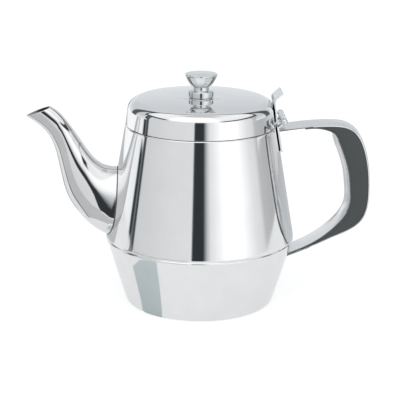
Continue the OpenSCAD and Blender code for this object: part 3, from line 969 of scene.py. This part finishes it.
def make_cards():
    """Grey and dark cards at the camera's side and to the left of the pot, and a painted shadow of the pot on
    the table.
    """
    mirrored_patch("grey_card", sector(-81, -12, CARD_NEAR, CARD_FAR, CARD_Z), (0.72, 0.72, 0.72))
    mirrored_patch("dark_gap", sector(-8, 4.5, 0.43, CARD_FAR, CARD_Z), (0.03, 0.033, 0.036))
    mirrored_patch("dark_strip", sector(-89, -82.5, CARD_NEAR, CARD_FAR, CARD_Z), (0.33, 0.33, 0.335))
    # Grey patch on the table to the left front of the pot, seen only in the steel: a painted shadow of the
    # pot.
    foot = toward(math.radians(-21.5)) * 0.041 + lifted(WEDGE_Z)
    reach = 0.075
    wedge = [foot] + [foot + toward(math.radians(a)) * reach for a in range(-98, -53, 11)]
    mirrored_patch("painted_pot_shadow", wedge, (0.72, 0.80, 0.805))


# ---------------------------------------------------------------- tent, in metres and degrees

# Brightness by azimuth from the camera: back, left panels, dark gap at the camera, right panels, back again
TENT_BANDS = [
    (-180, 0.95), (-173, 0.92), (-170, 0.12), (-163, 0.12), (-160, 0.95), (-150, 1.05), (-125, 1.12),
    (-99, 1.0), (-96.5, 0.9), (-95.5, 0.04), (-91.5, 0.04), (-90.5, 0.22), (-89.5, 0.22), (-88.5, 0.05),
    (-86, 0.06), (-84.5, 0.72), (-60, 0.78), (-40, 0.82), (-10, 0.85), (-8.6, 0.04), (4.5, 0.04),
    (9.5, 0.62), (13, 0.88), (22, 1.05), (33, 1.3), (52, 1.35), (59, 1.15), (73, 0.9), (83, 0.82),
    (89, 0.58), (105, 0.52), (113, 0.56), (130, 0.68), (150, 0.8), (160, 0.85), (163, 0.12), (170, 0.12),
    (173, 0.92), (180, 0.95),
]
BACK_WALL = [(0, 0.98), (8, 0.84), (21, 0.7), (45, 0.74), (70, 0.8)]                      # by elevation
OVERHEAD = [(24, 1.1), (40, 1.3), (60, 1.4), (72, 1.25), (80, 0.86), (90, 0.8)]           # by elevation
OVERHEAD_SHARE = [(24, 0.0), (27, 0.25), (34, 1.0)]   # how much of the overhead panel shows, by elevation
OVERHEAD_REACH = 19.0        # how far past the zenith the overhead panel reaches
FLANK_MIDDLE = -12           # azimuth halfway between the two flanks
FLANK_DIMMING = 0.22         # how much dimmer the overhead panel is over the flanks
TENT_POWER = 1.05
GAP_LEVEL = 0.3              # side panels less bright than this are gaps
GAP_GLOW = 0.05
WHITE_TINT = (1.0, 1.005, 1.01)
BACK_TINT = (0.965, 1.0, 1.03)
DARK_TINT = (0.9, 1.03, 1.12)


def ramp(stops, x):
    """Value at x on the straight lines between the stops."""
    xs, ys = zip(*stops)
    return float(np.interp(x, xs, ys))


def blend(a, b, share):
    """a where share is 0, b where it is 1."""
    return a * (1 - share) + b * share


def window(x, rise, fall):
    """1 between a rise and a fall, each given by where it starts and ends, and 0 outside them."""
    return smooth(x, *rise) * (1 - smooth(x, *fall))


def tent_light(azimuth, elevation):
    """Colour of the tent seen from the pot in a direction, in degrees from the camera's side."""
    away = abs(azimuth)
    flank = smooth(abs(azimuth - FLANK_MIDDLE), 38, 52)

    side = ramp(TENT_BANDS, azimuth)
    tint = np.array(DARK_TINT if side < GAP_LEVEL else WHITE_TINT)
    folds = 1 + 0.012 * math.sin(azimuth * 1.3) * math.sin(azimuth * 0.37 + 1)
    colour = side * folds * tint

    wall = ramp(BACK_WALL, elevation) * np.array(BACK_TINT)
    wall_gap = window(away, (116, 120), (131, 135)) * (1 - smooth(elevation, 50, 60))
    wall = wall * (1 - 0.85 * wall_gap)
    colour = blend(colour, wall, smooth(away, 100, 112) * smooth(elevation, 1, 6))

    overhead = ramp(OVERHEAD, elevation) * (1 - FLANK_DIMMING * flank)
    colour = blend(colour, overhead, ramp(OVERHEAD_SHARE, elevation))
    a, e = math.radians(azimuth), math.radians(elevation)
    tilt = math.degrees(math.atan2(-math.cos(a) * math.cos(e), math.sin(e))) if elevation > 0 else -90
    past = tilt - OVERHEAD_REACH
    rear = smooth(past, 0, 1.5)
    colour = blend(colour, wall, rear)

    flank_gap = (1 - rear) * flank * window(elevation, (26, 28), (34, 36))
    rear_gap = rear * (1 - smooth(past, 4.5, 7)) * smooth(elevation, 20, 30)
    horizon = smooth(away, 160, 166) * window(elevation, (-10, -8.5), (-4, -2))
    dark = max(flank_gap, rear_gap, 0.85 * horizon)
    return blend(colour, GAP_GLOW * np.array(DARK_TINT), dark) * TENT_POWER


def make_tent():
    """White studio tent with its gaps, which the camera doesn't see. It lights the pot and shows in it."""
    radius, centre_z = 1.5, 0.08
    columns, rows, low, high = 360, 118, -28, 90
    points, faces, colours = [], [], []
    for j in range(rows + 1):
        elevation = low + (high - low) * j / rows
        e = math.radians(elevation)
        for k in range(columns):
            azimuth = -180 + 360 * k / columns
            level = toward(math.radians(azimuth)) * radius * math.cos(e)
            points.append(level + lifted(radius * math.sin(e) + centre_z))
            colours.append((*tent_light(azimuth, elevation), 1.0))
            if j < rows:
                nxt = (k + 1) % columns
                row, above = j * columns, (j + 1) * columns
                faces.append((row + k, row + nxt, above + nxt, above + k))
    mesh = bpy.data.meshes.new("tent")
    mesh.from_pydata([tuple(p) for p in points], [], faces)
    glow = mesh.color_attributes.new("glow", "FLOAT_COLOR", "POINT")
    glow.data.foreach_set("color", [c for colour in colours for c in colour])
    mesh.materials.append(tent_cloth())
    tent = bpy.data.objects.new("tent", mesh)
    bpy.context.scene.collection.objects.link(tent)
    tent.visible_camera = False


def tent_cloth():
    """Cloth that glows in the colours held by the tent's points."""
    material = bpy.data.materials.new("tent_cloth")
    material.use_nodes = True
    material.node_tree.nodes.clear()
    nodes = Nodes(material.node_tree)
    colour = nodes.add("ShaderNodeVertexColor", layer_name="glow").outputs["Color"]
    emit = nodes.add("ShaderNodeEmission", {"Color": colour, "Strength": 1.0})
    nodes.add("ShaderNodeOutputMaterial", {0: emit.outputs[0]})
    return material


def make_world():
    world = bpy.data.worlds.new("white")
    bpy.context.scene.world = world
    world.use_nodes = True
    background = world.node_tree.nodes["Background"]
    background.inputs["Color"].default_value = (1, 1, 1, 1)
    background.inputs["Strength"].default_value = 1.1


make_camera()
make_table()
make_cards()
make_tent()
make_world()
bpy.context.scene.view_settings.view_transform = "Standard"
